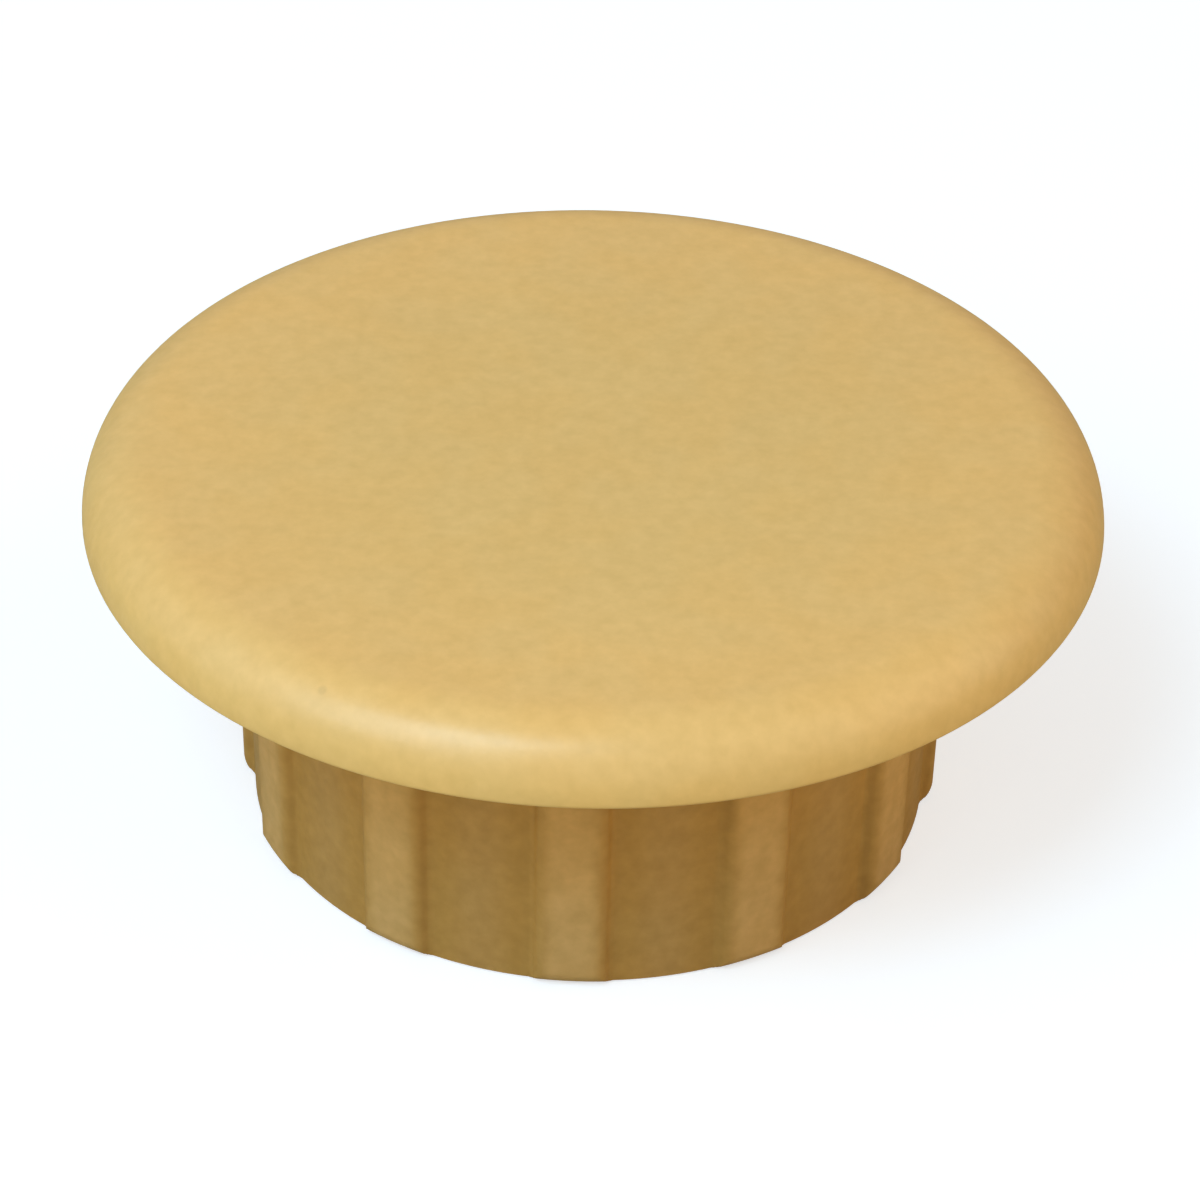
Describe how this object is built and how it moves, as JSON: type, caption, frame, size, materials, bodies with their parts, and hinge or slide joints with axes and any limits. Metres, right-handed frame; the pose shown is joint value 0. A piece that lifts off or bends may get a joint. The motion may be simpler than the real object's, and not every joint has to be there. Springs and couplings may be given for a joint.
{
  "type": "hole plug",
  "caption": "Round push-in plastic cap with a flat soft-edged head and a short hollow ribbed stem that grips a drilled hole.",
  "frame": {"origin": "on the plug's axis, at the head's underside, which rests on the panel round the hole", "axes": "+Z along the plug's axis, out of the hole through the middle of the head; +X and +Y each run through a rib"},
  "size_m": [0.0144, 0.0144, 0.0058],
  "materials": {
    "moulded_plastic": "satin, light tan"
  },
  "bodies": {
    "root": {"hole_plug": "moulded_plastic"}
  },
  "joints": []
}
